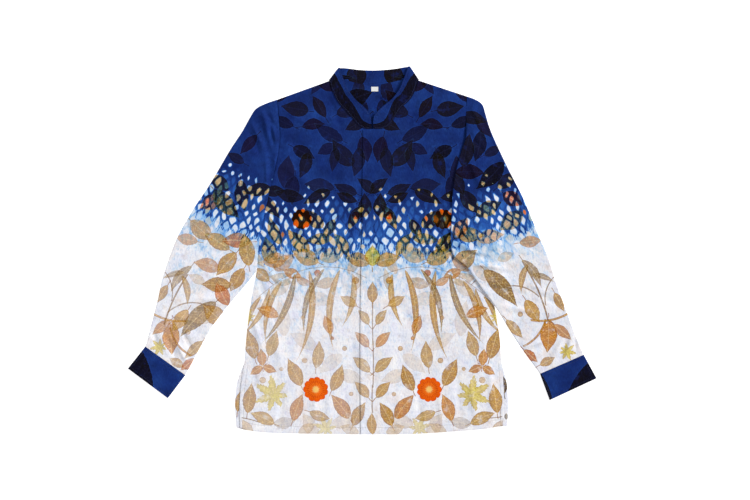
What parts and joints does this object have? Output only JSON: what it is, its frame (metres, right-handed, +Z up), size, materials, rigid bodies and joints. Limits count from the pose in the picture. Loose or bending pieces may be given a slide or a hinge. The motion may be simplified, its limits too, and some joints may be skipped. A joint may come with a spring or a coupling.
{
  "type": "long-sleeved shirt laid flat",
  "caption": "Long-sleeved shirt with a stand collar, a fly front, side vents and closed cuffs, laid flat with its front up and the left sleeve over the body.",
  "frame": {"origin": "bottom centre of the bounding box, on the surface that the shirt lies on", "axes": "+X towards the wearer's left, +Y from the hem to the neck, +Z up from the surface"},
  "size_m": [1.0084, 0.7916, 0.012],
  "materials": {
    "printed_cloth": "matt woven cloth, dyed indigo at the shoulders and pale with leaf prints below",
    "indigo_cloth": "matt woven cloth, dyed indigo with dark leaf prints",
    "label_cloth": "smooth white woven label, blank"
  },
  "bodies": {
    "root": {"back": "printed_cloth", "front_left": "printed_cloth", "front_right": "printed_cloth", "sleeve_left": "printed_cloth", "sleeve_right": "printed_cloth", "cuff_left": "indigo_cloth", "cuff_right": "indigo_cloth", "collar": "indigo_cloth", "neck_label": "label_cloth"}
  },
  "joints": []
}
